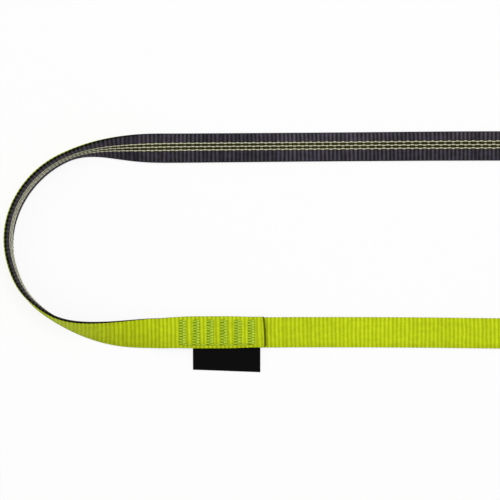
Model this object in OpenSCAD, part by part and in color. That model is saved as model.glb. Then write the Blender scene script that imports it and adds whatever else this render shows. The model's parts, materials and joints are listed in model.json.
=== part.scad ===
// Narrow sewn web sling: an endless loop of two-colour webbing, laid down with its bends on edge.
// +X runs along the loop, +Y towards the leg that lies black side up, +Z up from the surface below.
// Places on the web are (s, v, h): along the web from the middle of the left bend, across it from
// its middle line, and through it towards the black face.

/* [Web] */
// Width of the webbing
web_w = 16; // [12:0.5:25]
// Thickness of the webbing
web_t = 2; // [1.6:0.1:3]
// Radius of the rounded selvedges
selvedge_r = 0.7; // [0.3:0.05:0.7]
// Width of a tracer yarn
tracer_w = 0.9; // [0.5:0.05:1.2]
// Depth of a tracer yarn in the black face
tracer_t = 0.3; // [0.2:0.05:0.5]
// Distance between neighbouring tracer yarns
tracer_pitch = 1.9; // [1.4:0.1:2.5]
// Place of the middle tracer yarn across the web
tracer_offset = 0.8; // [-1.5:0.05:1.5]

/* [Loop] */
// Length once round the loop, twice the sling's nominal length
loop_len = 1200; // [700:10:2400]
// Bend radius of the web's middle line, on the side of the leg that lies black side up
upper_bend_r = 50.9; // [45:0.1:56]
// Length over which that half of a bend runs out into its leg
upper_bend_ease = 26; // [10:1:60]
// Bend radius of the middle line, on the side of the leg that lies green side up
lower_bend_r = 44.7; // [40:0.1:50]
// Length over which that half of a bend runs out into its leg
lower_bend_ease = 59; // [10:1:70]
// Outward slant of each half of the leg that lies black side up, in degrees
leg_slant = 0.46; // [0.1:0.02:0.8]
// Length over which each half of that leg bows parallel at its middle
leg_bow = 60; // [20:1:80]
// Lean of the web in the middle of a bend, black face upwards, in degrees
bend_lean = 5.1; // [0:0.1:12]
// Gain of that lean towards the leg that lies black side up, in degrees per millimetre
upper_twist = 0.056; // [0:0.002:0.1]
// Loss of that lean towards the leg that lies green side up, in degrees per millimetre
lower_twist = 0.218; // [0:0.002:0.3]
// Where the leg that lies black side up starts to roll flat, from the middle of a bend
upper_roll_start = 58; // [20:1:70]
// Where the leg that lies black side up is flat
upper_roll_end = 126; // [110:1:140]
// Where the leg that lies green side up starts to roll flat
lower_roll_start = 39; // [5:1:50]
// Where the leg that lies green side up is flat
lower_roll_end = 124; // [110:1:140]

/* [Seam] */
// Distance along the web from the middle of the left bend to the visible cut end
seam_reach = 163.7; // [150:0.1:172]
// Distance from each web end to the middle of the nearest bar tack
end_margin = 7.5; // [5:0.1:10]
// Distance between bar tacks
bar_pitch = 7.4; // [6:0.1:9]
// Width of a bar tack along the web
bar_w = 4.4; // [3:0.1:5]
// Distance from a selvedge to the end of a bar tack
bar_inset = 1.1; // [0.9:0.1:3]
// Distance between the stitches of a bar tack
stitch_step = 0.75; // [0.65:0.05:1.2]
// Thickness of the sewing thread
thread_d = 0.42; // [0.3:0.02:0.46]
// Length of web that ramps down beyond the hidden web end
lap_ramp = 12; // [8:1:20]

/* [Label] */
// Width of the label along the web
label_w = 36.4; // [24:0.1:42]
// How far the label stands out of the seam, at its middle
label_reach = 12.9; // [8:0.1:20]
// Difference between the label's two side lengths, from its slanted fold
label_skew = 1.4; // [0:0.1:2]
// Thickness of the label tape
leaf_t = 0.25; // [0.15:0.05:0.4]
// Depth of the label's tail between the web layers
tail_depth = 10; // [6:0.5:11]
// Distance from the visible cut end to the label
label_inset = 2.7; // [1:0.1:6]

/* [Clearances] */
// Gap between the two plies of the web
ply_gap = 0.04; // [0.02:0.01:0.08]
// Gap around a tracer yarn in its groove
tracer_clear = 0.02; // [0.01:0.01:0.05]
// Gap between the label's tail and each web layer
tail_clear = 0.03; // [0.02:0.01:0.1]
// Gap between the two leaves of the label
fold_gap = 0.2; // [0.1:0.05:0.3]
// Gap between the label's tail and the turning end of its flap
hinge_clear = 0.1; // [0.05:0.05:0.3]
// Gap between the web and the label when it stands upright
swing_clear = 0.4; // [0.3:0.05:0.8]
// Gap between the surface below and the lowest thread or the label's fold
rest_clear = 0.1; // [0.05:0.05:0.2]

/* [Hidden] */

green = [0.72, 0.79, 0.11];
black = [0.22, 0.21, 0.23];
tracer_pale = [0.78, 0.78, 0.64];
thread_green = [0.57, 0.72, 0.2];
label_black = [0.07, 0.07, 0.07];

// Smooth step from 0 to 1
function ease(t) = let (c = min(max(t, 0), 1)) c * c * (3 - 2 * c);

// Plan of the loop, by side (1 towards the leg that lies black side up, -1 towards the other) and
// distance q from the middle of a bend. Each half bend is an arc whose curvature then fades out.
function bend_r(side) = side > 0 ? upper_bend_r : lower_bend_r;
function bend_ease(side) = side > 0 ? upper_bend_ease : lower_bend_ease;
function bend_turn(side) = side > 0 ? 90 - leg_slant : 90;
function arc_len(side) = bend_r(side) * bend_turn(side) * PI / 180 - bend_ease(side) / 2;
function bend_len(side) = arc_len(side) + bend_ease(side);
function bend_heading(side, q) =
    let (fade = min(max(q - arc_len(side), 0), bend_ease(side)))
    (min(q, arc_len(side)) + fade - fade * fade / (2 * bend_ease(side))) / bend_r(side) * 180 / PI;

fade_steps = 24;
fade_sum = [for (i = [1 : fade_steps]) 1];
function bend_point(side, q) =
    let (
        a = min(q, arc_len(side)) / bend_r(side) * 180 / PI,
        step = (min(max(q, arc_len(side)), bend_len(side)) - arc_len(side)) / fade_steps,
        faded = [
            for (i = [1 : fade_steps])
                let (h = bend_heading(side, arc_len(side) + (i - 0.5) * step)) step * [sin(h), cos(h)]
        ]
    )
    bend_r(side) * [1 - cos(a), sin(a)] + fade_sum * faded;

// The lower leg is straight; each half of the upper one is straight, then bows parallel. Both span
// the same length between the bends.
bow_r = leg_bow / (leg_slant * PI / 180);
bow_span = bow_r * sin(leg_slant);
upper_bend_end = bend_point(1, bend_len(1));
lower_bend_end = bend_point(-1, bend_len(-1));
slant_len = (loop_len / 2 - bend_len(1) - bend_len(-1) - leg_bow - bow_span
    + lower_bend_end[0] - upper_bend_end[0]) / (1 + cos(leg_slant));
bow_start = bend_len(1) + slant_len;
upper_half = bow_start + leg_bow;
lower_half = loop_len / 2 - upper_half;

function bow_turn(side, q) = side > 0 ? max(q - bow_start, 0) / bow_r * 180 / PI : 0;
function heading(side, q) = bend_heading(side, q) + bow_turn(side, q);
function plan_point(side, q) =
    let (
        turn = bend_turn(side),
        end = turn + bow_turn(side, q),
        run = max(min(q, side > 0 ? bow_start : q) - bend_len(side), 0)
    )
    bend_point(side, q) + run * [sin(turn), cos(turn)]
        + (side > 0 ? bow_r * [cos(turn) - cos(end), sin(end) - sin(turn)] : [0, 0]);

half_len = plan_point(-1, lower_half)[0];
half_w = plan_point(1, upper_half)[1] + web_w / 2;

// Seam
bar_count = 6;
overlap = 2 * end_margin + (bar_count - 1) * bar_pitch;
seam_start = seam_reach - overlap;
bar_len = web_w - 2 * bar_inset;
tail_t = 2 * leaf_t;
lap_gap = tail_t + 2 * tail_clear;
lap_height = web_t + lap_gap;
lap_lead = 0.5;
thread_sink = thread_d / 4;
seam_lift = thread_d - thread_sink + rest_clear;
seam_ramp = 20;

function bar_place(k) = -(seam_start + end_margin + (k - 1) * bar_pitch);

// Label: a folded tape whose tail is sewn between the web layers and whose flap turns at the selvedge
flap_t = tail_t + fold_gap;
hinge_out = flap_t / 2 + swing_clear;
hinge_z = web_t + lap_gap / 2 + seam_lift;
flap_short = label_reach - label_skew / 2 - hinge_out;
flap_long = label_reach + label_skew / 2 - hinge_out;
droop = asin((hinge_z - flap_t / 2 - rest_clear) / flap_long);
label_near = -(seam_reach - label_inset);
label_far = label_near + label_w;

// The origin lies under the middle of the whole sling, label included
label_side = plan_point(-1, -label_near)[1] + web_w / 2 + hinge_out
    + (flap_long - flap_t / 2) * cos(droop) + flap_t / 2;
loop_y = (label_side - half_w) / 2;

// Rise of the upper layer over the hidden web end, along the web
function lap_rise(s) = lap_height * (1 - ease((s + seam_start - lap_lead) / lap_ramp));
// Rise of the whole seam over its lower threads, round the loop
function seam_rise(u) = seam_lift
    * ease((u + seam_reach + seam_ramp) / seam_ramp)
    * ease((-u - seam_start + seam_ramp) / seam_ramp);

// Frame of the web at s: centre, along, across and the black face's normal
function web_frame(s) =
    let (
        u = s - loop_len * floor((s + 2 * lower_half) / loop_len),
        side = u < 0 ? -1 : 1,
        half = side > 0 ? upper_half : lower_half,
        end = abs(u) <= half ? -1 : 1,
        q = min(abs(u), 2 * half - abs(u)),
        a = heading(side, q),
        p = plan_point(side, q),
        roll_start = side > 0 ? upper_roll_start : lower_roll_start,
        roll_end = side > 0 ? upper_roll_end : lower_roll_end,
        roll = ease((q - roll_start) / (roll_end - roll_start)),
        lean = bend_lean + (side > 0 ? upper_twist : -lower_twist) * q,
        lift = lean + (side * 90 - lean) * roll,
        inward = [-end * cos(a), -side * sin(a), 0],
        rest_z = (web_w / 2 - selvedge_r) * abs(cos(lift))
            + (web_t / 2 - selvedge_r) * abs(sin(lift)) + selvedge_r,
        centre = [end * (half_len - p[0]), loop_y + side * p[1], rest_z + seam_rise(u)],
        up = [0, 0, 1]
    )
    [
        centre,
        [side * sin(a), -end * cos(a), 0],
        cos(lift) * up - sin(lift) * inward,
        cos(lift) * inward + sin(lift) * up
    ];

function web_point(s, v, h) =
    let (f = web_frame(s)) f[0] + v * f[2] + (h - lap_rise(s)) * f[3];

// Stations along the strip, close together where it bends, rolls or ramps
bend_step = 6.5;
leg_step = 42;
ramp_step = 4;
function stations(from, to, step) =
    let (n = ceil((to - from) / step)) [for (i = [0 : n - 1]) from + (to - from) * i / n];

strip_end = loop_len - seam_start;
ramp_end = -seam_start + lap_lead + lap_ramp;
far_bend = 2 * upper_half;
strip = concat(
    stations(-seam_reach, ramp_end, ramp_step),
    stations(ramp_end, 0, bend_step),
    stations(0, upper_roll_end, bend_step),
    stations(upper_roll_end, upper_half, leg_step),
    stations(upper_half, far_bend - upper_roll_end, leg_step),
    stations(far_bend - upper_roll_end, far_bend, bend_step),
    stations(far_bend, far_bend + lower_roll_end, bend_step),
    stations(far_bend + lower_roll_end, loop_len - seam_reach - seam_ramp, leg_step),
    stations(loop_len - seam_reach - seam_ramp, strip_end, ramp_step),
    [strip_end]
);

// Closed solid of a (v, h) outline carried along the web. Its side faces are cut from the lower v
// at one station to the higher v at the next, so that pieces that lie together twist together.
module web_sweep(outline, places) {
    n = len(outline);
    rings = len(places);
    points = [for (s = places, p = outline) web_point(s, p[0], p[1])];
    sides = [
        for (i = [0 : rings - 2], j = [0 : n - 1])
            let (
                k = (j + 1) % n,
                a = i * n + j,
                b = i * n + k,
                across = outline[k] - outline[j],
                rising = across[0] > 0 || (across[0] == 0 && across[1] > 0)
            )
            each rising
                ? [[a, a + n, b + n], [a, b + n, b]]
                : [[a, a + n, b], [b, a + n, b + n]]
    ];
    start_cap = [for (j = [0 : n - 1]) j];
    end_cap = [for (j = [n - 1 : -1 : 0]) (rings - 1) * n + j];
    polyhedron(points, concat(sides, [start_cap, end_cap]), convexity = 10);
}

// Rounded selvedge of a ply, from the middle of the thickness out to its face, on the +v side
corner_cut = selvedge_r * (1 - sqrt(0.5));
ply_edge = [
    [web_w / 2, ply_gap / 2],
    [web_w / 2, web_t / 2 - selvedge_r],
    [web_w / 2 - corner_cut, web_t / 2 - corner_cut],
    [web_w / 2 - selvedge_r, web_t / 2]
];
function flip_v(outline) = [for (i = [len(outline) - 1 : -1 : 0]) [-outline[i][0], outline[i][1]]];
function flip_h(outline) = [for (i = [len(outline) - 1 : -1 : 0]) [outline[i][0], -outline[i][1]]];

// Points that split a wide face across the web, so that it twists evenly, from +v to -v
function face_split(h) = [for (i = [1 : -1 : -1]) [i * web_w / 4, h]];
inner_split = flip_h(face_split(-ply_gap / 2));

function tracer_place(i) = tracer_offset + i * tracer_pitch;
groove_w = tracer_w + 2 * tracer_clear;
groove_floor = web_t / 2 - tracer_t;
grooves = [
    for (i = [1 : -1 : -1])
        let (v = tracer_place(i))
        each [
            [v + groove_w / 2, web_t / 2],
            [v + groove_w / 2, groove_floor],
            [v - groove_w / 2, groove_floor],
            [v - groove_w / 2, web_t / 2]
        ]
];

module web_green_ply() {
    color(green)
        web_sweep(
            flip_h(concat(ply_edge, face_split(web_t / 2), flip_v(ply_edge), inner_split)), strip);
}

module web_black_ply() {
    color(black)
        web_sweep(concat(ply_edge, grooves, flip_v(ply_edge), inner_split), strip);
}

module tracer_yarn(i) {
    v = tracer_place(i);
    color(tracer_pale)
        web_sweep([
            [v + tracer_w / 2, groove_floor + tracer_clear],
            [v + tracer_w / 2, web_t / 2],
            [v - tracer_w / 2, web_t / 2],
            [v - tracer_w / 2, groove_floor + tracer_clear]
        ], strip);
}

// Puts children on the seam at s, with +Z out of the green face and the origin on the lower layer
module on_seam(s) {
    f = web_frame(s);
    x = -f[1];
    y = f[2];
    z = -f[3];
    multmatrix([
        [x[0], y[0], z[0], f[0][0]],
        [x[1], y[1], z[1], f[0][1]],
        [x[2], y[2], z[2], f[0][2]],
        [0, 0, 0, 1]
    ]) children();
}

top_face = lap_height + web_t / 2;
lower_face = -web_t / 2;
leg_gap = 0.1;
stitch_leg = web_t + lap_gap / 2 - leg_gap / 2;
stitch_count = floor((bar_len - thread_d) / stitch_step) + 1;
stitch_slant = atan((stitch_step - thread_d - leg_gap) / bar_w);

// One stitch: a float along X that lies on the face z = 0, with a leg down through the web at each end
module stitch(length) {
    end = length / 2;
    rise = thread_d - thread_sink;
    bevel = thread_d / 3;
    rotate([90, 0, 0])
        linear_extrude(thread_d, center = true)
            polygon([
                [-end, -stitch_leg], [thread_d - end, -stitch_leg],
                [thread_d - end, -thread_sink], [end - thread_d, -thread_sink],
                [end - thread_d, -stitch_leg], [end, -stitch_leg],
                [end, rise - bevel], [end - bevel, rise],
                [bevel - end, rise], [-end, rise - bevel]
            ]);
}

// Zigzag of one bar tack on the face z = 0
module zigzag() {
    for (i = [0 : stitch_count - 1])
        translate([0, (i - (stitch_count - 1) / 2) * stitch_step, 0])
            rotate([0, 0, i % 2 == 0 ? stitch_slant : -stitch_slant])
                stitch(bar_w);
}

module on_top_face(s) {
    on_seam(s) translate([0, 0, top_face]) children();
}

module on_lower_face(s) {
    on_seam(s) translate([0, 0, lower_face]) rotate([180, 0, 0]) children();
}

module bar_tack_needle(k) {
    color(thread_green) on_top_face(bar_place(k)) zigzag();
}

module bar_tack_bobbin(k) {
    color(thread_green) on_lower_face(bar_place(k)) zigzag();
}

// Running stitches that carry the thread from one bar tack to the next, along the lower selvedge
link_len = bar_pitch - bar_w - 2 * leg_gap;
link_v = -(bar_len - thread_d) / 2;

module link_stitch_needle() {
    color(thread_green)
        for (k = [1 : bar_count - 1])
            on_top_face((bar_place(k) + bar_place(k + 1)) / 2)
                translate([0, link_v, 0]) stitch(link_len);
}

module link_stitch_bobbin() {
    color(thread_green)
        for (k = [1 : bar_count - 1])
            on_lower_face((bar_place(k) + bar_place(k + 1)) / 2)
                translate([0, -link_v, 0]) stitch(link_len);
}

near_edge = web_point(label_near, -web_w / 2, 0);
hinge_y = near_edge[1] - hinge_out;
label_right = near_edge[0];
label_left = label_right - label_w;

module label_tail() {
    out = -web_w / 2 - hinge_out + flap_t / 2 + hinge_clear;
    inner = tail_depth - web_w / 2;
    low = web_t / 2 + tail_clear;
    high = low + tail_t;
    color(label_black)
        web_sweep([[inner, low], [inner, high], [out, high], [out, low]],
            concat(stations(label_near, label_far, ramp_step), [label_far]));
}

// Section of the folded tape in (outer, inner) pairs: out along the lower leaf, round the fold and
// back along the upper leaf
fold_steps = 4;
function fold_section(length) =
    let (fold = [length - flap_t / 2, 0])
    concat(
        [[[0, -flap_t / 2], [0, -fold_gap / 2]]],
        [for (i = [0 : fold_steps])
            let (turn = [sin(180 * i / fold_steps), -cos(180 * i / fold_steps)])
            [fold + flap_t / 2 * turn, fold + fold_gap / 2 * turn]],
        [[[0, flap_t / 2], [0, fold_gap / 2]]]
    );

module label_flap() {
    sides = [[label_left, fold_section(flap_short)], [label_right, fold_section(flap_long)]];
    last = len(sides[0][1]) - 1;
    points = [for (side = sides, pair = side[1], p = pair) [side[0], -p[0], p[1]]];
    function at(side, i, skin) = (side * (last + 1) + i) * 2 + skin;
    skins = [
        for (i = [0 : last - 1])
            each [
                [at(0, i, 0), at(0, i + 1, 0), at(1, i + 1, 0), at(1, i, 0)],
                [at(0, i, 1), at(1, i, 1), at(1, i + 1, 1), at(0, i + 1, 1)],
                [at(0, i, 0), at(0, i, 1), at(0, i + 1, 1), at(0, i + 1, 0)],
                [at(1, i, 0), at(1, i + 1, 0), at(1, i + 1, 1), at(1, i, 1)]
            ]
    ];
    leaf_ends = [
        [at(0, 0, 0), at(1, 0, 0), at(1, 0, 1), at(0, 0, 1)],
        [at(0, last, 0), at(0, last, 1), at(1, last, 1), at(1, last, 0)]
    ];
    color(label_black)
        translate([0, hinge_y, hinge_z]) rotate([droop, 0, 0])
            polyhedron(points, concat(skins, leaf_ends), convexity = 4);
}

web_green_ply();
web_black_ply();
tracer_yarn(1);  // tracer_yarn_upper
tracer_yarn(0);  // tracer_yarn_middle
tracer_yarn(-1);  // tracer_yarn_lower
bar_tack_needle(1);  // bar_tack_needle_1
bar_tack_needle(2);  // bar_tack_needle_2
bar_tack_needle(3);  // bar_tack_needle_3
bar_tack_needle(4);  // bar_tack_needle_4
bar_tack_needle(5);  // bar_tack_needle_5
bar_tack_needle(6);  // bar_tack_needle_6
bar_tack_bobbin(1);  // bar_tack_bobbin_1
bar_tack_bobbin(2);  // bar_tack_bobbin_2
bar_tack_bobbin(3);  // bar_tack_bobbin_3
bar_tack_bobbin(4);  // bar_tack_bobbin_4
bar_tack_bobbin(5);  // bar_tack_bobbin_5
bar_tack_bobbin(6);  // bar_tack_bobbin_6
link_stitch_needle();
link_stitch_bobbin();
label_tail();
label_flap();
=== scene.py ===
import json
import math

import bpy
import numpy as np
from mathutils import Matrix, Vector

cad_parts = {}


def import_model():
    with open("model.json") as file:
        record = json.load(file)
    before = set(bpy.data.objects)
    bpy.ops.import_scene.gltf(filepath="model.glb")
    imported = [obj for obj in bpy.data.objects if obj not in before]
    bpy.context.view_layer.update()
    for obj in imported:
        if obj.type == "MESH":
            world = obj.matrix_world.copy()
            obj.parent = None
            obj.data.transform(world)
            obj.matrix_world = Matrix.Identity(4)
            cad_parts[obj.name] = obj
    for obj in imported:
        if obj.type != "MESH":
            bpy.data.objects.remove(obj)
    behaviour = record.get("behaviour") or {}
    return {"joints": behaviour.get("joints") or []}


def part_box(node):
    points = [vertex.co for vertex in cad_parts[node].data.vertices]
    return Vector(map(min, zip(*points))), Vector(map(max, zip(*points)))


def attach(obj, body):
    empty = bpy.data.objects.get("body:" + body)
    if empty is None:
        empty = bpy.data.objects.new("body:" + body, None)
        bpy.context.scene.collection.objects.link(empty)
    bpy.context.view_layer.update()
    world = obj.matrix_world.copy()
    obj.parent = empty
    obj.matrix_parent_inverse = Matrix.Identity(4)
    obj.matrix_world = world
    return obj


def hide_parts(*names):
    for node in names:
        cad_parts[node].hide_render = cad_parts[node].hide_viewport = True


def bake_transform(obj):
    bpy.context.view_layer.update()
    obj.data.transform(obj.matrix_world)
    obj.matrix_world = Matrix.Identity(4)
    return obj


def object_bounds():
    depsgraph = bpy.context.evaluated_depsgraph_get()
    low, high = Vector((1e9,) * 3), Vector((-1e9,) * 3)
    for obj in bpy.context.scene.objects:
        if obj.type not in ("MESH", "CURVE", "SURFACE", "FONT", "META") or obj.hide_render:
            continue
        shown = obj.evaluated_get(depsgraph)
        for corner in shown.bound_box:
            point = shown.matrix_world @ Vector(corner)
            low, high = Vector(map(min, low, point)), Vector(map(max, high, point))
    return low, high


# Looks of a narrow sewn web sling: ribbed two-colour web, tracer yarns, bar-tacked seam and blank label

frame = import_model()
cad_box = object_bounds()

MM = 0.001

# Web, loop and seam in millimetres, with the values that the solids were made from. The pair of a bend is
# its radius and the length over which it fades out. The pair of a roll is where it starts and stops,
# counted along the web from the middle of the bend, and the twists are per millimetre of that way.
WEB_W = 16.0
WEB_T = 2.0
SELVEDGE_R = 0.7
LOOP_LEN = 1200.0
UPPER_BEND = (50.9, 26.0)
LOWER_BEND = (44.7, 59.0)
LEG_SLANT = math.radians(0.46)
LEG_BOW = 60.0
BEND_LEAN = math.radians(5.1)
UPPER_TWIST = math.radians(0.056)
LOWER_TWIST = math.radians(-0.218)
UPPER_ROLL = (58.0, 126.0)
LOWER_ROLL = (39.0, 124.0)
SEAM_REACH = 163.7
END_MARGIN = 7.5
BAR_COUNT = 6
BAR_PITCH = 7.4
BAR_W = 4.4
BAR_INSET = 1.1
LAP_RAMP = 12.0
LAP_LEAD = 0.5
LAP_GAP = 0.56
SEAM_LIFT = 0.415
SEAM_RAMP = 20.0
THREAD_D = 0.42

HALF_W = WEB_W / 2
HALF_T = WEB_T / 2
LAP_HEIGHT = WEB_T + LAP_GAP
SEAM_START = SEAM_REACH - 2 * END_MARGIN - (BAR_COUNT - 1) * BAR_PITCH
STRIP_START = -SEAM_REACH
STRIP_END = LOOP_LEN - SEAM_START
STRIP_LEN = STRIP_END - STRIP_START

# Photograph: straight down, 500 pixels across this much of the surface below. The place of its
# middle is counted from the middle of the left bend.
VIEW_W = 270.3
VIEW_HEIGHT = 860.0
VIEW_FROM_BEND = (129.47, -3.2)

# Faces of the web, by the side of the middle plane on which they lie
GREEN = -1
BLACK = 1

# Ribs of the weave: pitch and depth, the phases at which each has points, and the power of its sine
RIB_PITCH = 2.2
RIB_DEPTH = 0.36
RIB_PHASES = (0.0, 0.13, 0.31, 0.5, 0.69, 0.87)
RIB_POWER = 0.85

# Section of the web in a bend: bulging to the inside, most in its lower half
CAMBER = 0.45
CAMBER_SKEW = 1.2

# What only the bends show fades out between two distances from the middle of the bend, given for the upper
# and the lower side of the loop: the section and its dark edge, the looser tracer yarns, and the lesser
# contrast of the ribs' painted shade and light
BEND_FADE = ((35.0, 105.0), (5.0, 60.0))
YARN_FADE = ((25.0, 72.0), (5.0, 45.0))
RIB_FADE = ((95.0, 150.0), (65.0, 105.0))

# Share of the ribs' painted shade and light that is left in the bends, and the crest that they fade to
FADED_RIBS = {GREEN: 0.4, BLACK: 0.85}
FADED_CREST = {GREEN: 0.6, BLACK: 0.52}

# Way of the web to the inside of a bend, besides its section: the creep of its lower edge, a step in which
# its foot and its head lag behind, a shift back to the outside, and a bulge where it starts to fall over.
# Each has its most, its place from the middle of the bend towards the upper leg, and its reach. FOOT_TOP
# and BULGE_SPAN are places across the web, from -1 at its lower edge to 1 at its upper one.
EDGE_CREEP = (0.72, 33.0, 33.0)
CREEP_POWER = 1.6
INWARD_STEP = (1.08, -14.0, 17.0)
FOOT_LAG = (2.35, -18.0, 17.0)
FOOT_TOP = -0.2
HEAD_LAG = (0.62, -20.0, 16.0)
OUTWARD_SHIFT = (0.3, 6.0, 30.0)
INWARD_BULGE = (0.58, -40.0, 11.0)
BULGE_SPAN = (-0.68, 1.7)

# Narrowing of the leg that lies black side up (most, middle along x, reach), and widening of the leg that
# lies green side up and of the upper layer of the seam by the sewing. That layer widens and shifts over
# ramps, counted from the middle of the left bend, and loses most of its widening towards its end.
LEG_NARROWING = (0.02, -103.0, 75.0)
LEG_SPREAD = 0.025
SEAM_SPREAD = 0.057
SPREAD_START = 104.0
SPREAD_RAMP = 24.0
SPREAD_END = 142.0
END_RAMP = 16.0
END_LOSS = 0.8
SEAM_SHIFT = 0.32
SHIFT_START = 98.0
SHIFT_RAMP = 14.0

# Length of a bar across the web, before that widening
BAR_LEN = (WEB_W - 2 * BAR_INSET) / (1 + LEG_SPREAD + SEAM_SPREAD)

# Bows of the leg that lies green side up: most, middle along x and reach
LEG_BOWS = ((-0.4, -212.0, 17.0), (0.3, -100.0, 60.0), (-0.4, 0.0, 34.0))


def ease(t):
    c = np.clip(t, 0.0, 1.0)
    return c * c * (3.0 - 2.0 * c)


def bell(value, middle, reach):
    return np.exp(-(((value - middle) / reach) ** 2))


def swell(value, most, middle, reach):
    return most * bell(value, middle, reach)


# Loop

class Side:
    """Plan of one side of the loop, by the distance q from the middle of a bend."""

    STEP = 0.05

    def __init__(self, bend, slant):
        """The heading turns evenly over an arc, and then less and less over the fade."""
        radius, fade = bend
        arc = radius * (math.pi / 2 - slant) - fade / 2
        self.slant = slant
        self.bend_len = arc + fade
        self.q = np.arange(0.0, LOOP_LEN / 2, self.STEP)
        late = np.clip(self.q - arc, 0.0, fade)
        self.heading = (np.minimum(self.q, arc) + late - late * late / (2 * fade)) / radius
        self.trace()

    def trace(self):
        middle = (self.heading[1:] + self.heading[:-1]) / 2
        self.x = np.concatenate([[0.0], np.cumsum(self.STEP * np.sin(middle))])
        self.y = np.concatenate([[0.0], np.cumsum(self.STEP * np.cos(middle))])

    def bow(self, start):
        """Lets the leg turn parallel over its middle, from start on."""
        self.heading = self.heading + self.slant * np.clip((self.q - start) / LEG_BOW, 0.0, 1.0)
        self.trace()

    def at(self, q):
        """Heading, x and y at q."""
        return [np.interp(q, self.q, values) for values in (self.heading, self.x, self.y)]


def fitted_sides():
    """Both sides of the loop, and half the length of each."""
    upper, lower = Side(UPPER_BEND, LEG_SLANT), Side(LOWER_BEND, 0.0)
    bow_span = LEG_BOW * math.sin(LEG_SLANT) / LEG_SLANT
    shift = lower.at(lower.bend_len)[1] - upper.at(upper.bend_len)[1]
    rest = LOOP_LEN / 2 - upper.bend_len - lower.bend_len - LEG_BOW - bow_span + shift
    bow_start = upper.bend_len + rest / (1 + math.cos(LEG_SLANT))
    upper.bow(bow_start)
    upper_half = bow_start + LEG_BOW
    return upper, lower, upper_half, LOOP_LEN / 2 - upper_half


UPPER, LOWER, UPPER_HALF, LOWER_HALF = fitted_sides()
HALF_LEN = float(LOWER.at(LOWER_HALF)[1])
LOOP_Y = cad_box[1].y / MM - float(UPPER.at(UPPER_HALF)[2]) - HALF_W
VIEW_CENTRE = (VIEW_FROM_BEND[0] - HALF_LEN, VIEW_FROM_BEND[1] + LOOP_Y)


def lap_rise(s):
    """How far the start of the strip climbs on its other end."""
    return LAP_HEIGHT * (1 - ease((s + SEAM_START - LAP_LEAD) / LAP_RAMP))


def seam_rise(u):
    """Lift of the seam by the threads under it."""
    before = ease((u + SEAM_REACH + SEAM_RAMP) / SEAM_RAMP)
    after = ease((-u - SEAM_START + SEAM_RAMP) / SEAM_RAMP)
    return SEAM_LIFT * before * after


def web_lift(q, over):
    """Angle of the black face above level, along the side that over tells."""
    lean = BEND_LEAN + np.where(over, UPPER_TWIST, LOWER_TWIST) * q
    start = np.where(over, UPPER_ROLL[0], LOWER_ROLL[0])
    stop = np.where(over, UPPER_ROLL[1], LOWER_ROLL[1])
    flat = np.where(over, math.pi / 2, -math.pi / 2)
    return lean + (flat - lean) * ease((q - start) / (stop - start))


def loop_place(s):
    """Distance from the left bend's middle, above 0 on the upper side, and half the length of that side."""
    u = s - LOOP_LEN * np.floor((s + 2 * LOWER_HALF) / LOOP_LEN)
    return u, np.where(u >= 0, UPPER_HALF, LOWER_HALF)


def bend_place(s):
    """Whether s is on the upper side of the loop, and its distance q from the middle of the nearer bend."""
    u, half = loop_place(s)
    return u >= 0, np.minimum(np.abs(u), 2 * half - np.abs(u))


def bend_share(s, fades):
    """1 in a bend, fading out along the legs between the distances of fades."""
    over, q = bend_place(s)
    start, stop = (np.where(over, up, down) for up, down in zip(*fades))
    return 1 - ease((q - start) / (stop - start))


def web_spread(s, x):
    """Growth of the web's width as a share of it, below 0 on the leg that lies black side up."""
    over, q = bend_place(s)
    narrow = np.where(over, swell(x, *LEG_NARROWING), 0.0)
    fallen = np.where(over, 0.0, ease((q - LOWER_ROLL[0]) / (LOWER_ROLL[1] - LOWER_ROLL[0])))
    sewn = ease((-s - SPREAD_START) / SPREAD_RAMP) * (1 - END_LOSS * ease((-s - SPREAD_END) / END_RAMP))
    return LEG_SPREAD * fallen + SEAM_SPREAD * sewn - narrow


def settling(s, w):
    """Way to the inside of a bend by creep, step and bulge, with w from -1 to 1 across the web."""
    over, q = bend_place(s)
    along = np.where(over, q, -q)
    creep = swell(along, *EDGE_CREEP) * np.clip((1 - w) / 2, 0, 1) ** CREEP_POWER
    step = swell(along, *INWARD_STEP)
    bulge = swell(along, *INWARD_BULGE) * ((w - BULGE_SPAN[0]) * (BULGE_SPAN[1] - w))
    foot = swell(along, *FOOT_LAG) * np.clip((FOOT_TOP - w) / (1 + FOOT_TOP), 0, 1) ** 2
    head = swell(along, *HEAD_LAG) * np.clip(w, 0, 1) ** 2
    return creep + step + bulge - foot - head - swell(along, *OUTWARD_SHIFT)


def leg_bow(x):
    return sum(swell(x, *bow) for bow in LEG_BOWS)


def web_frame(s):
    """Centre of the web at s, its direction across and the black face's normal, in millimetres."""
    u, half = loop_place(s)
    over, q = bend_place(s)
    end = np.where(np.abs(u) <= half, -1.0, 1.0)
    side = np.where(over, 1.0, -1.0)
    heading, x, y = (np.where(over, up, down) for up, down in zip(UPPER.at(q), LOWER.at(q)))
    x = end * (HALF_LEN - x)
    y = LOOP_Y + side * y + np.where(over, 0.0, leg_bow(x))
    lift = web_lift(q, over)
    up, level = np.sin(lift), np.cos(lift)
    rest_z = (HALF_W - SELVEDGE_R) * np.abs(level) + (HALF_T - SELVEDGE_R) * np.abs(up) + SELVEDGE_R
    inward = np.stack([-end * np.cos(heading), -side * np.sin(heading), np.zeros_like(heading)], -1)
    upward = np.array([0.0, 0.0, 1.0])
    centre = np.stack([x, y, rest_z + seam_rise(u)], -1)
    across = level[..., None] * upward - up[..., None] * inward
    normal = level[..., None] * inward + up[..., None] * upward
    return centre, across, normal


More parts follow.
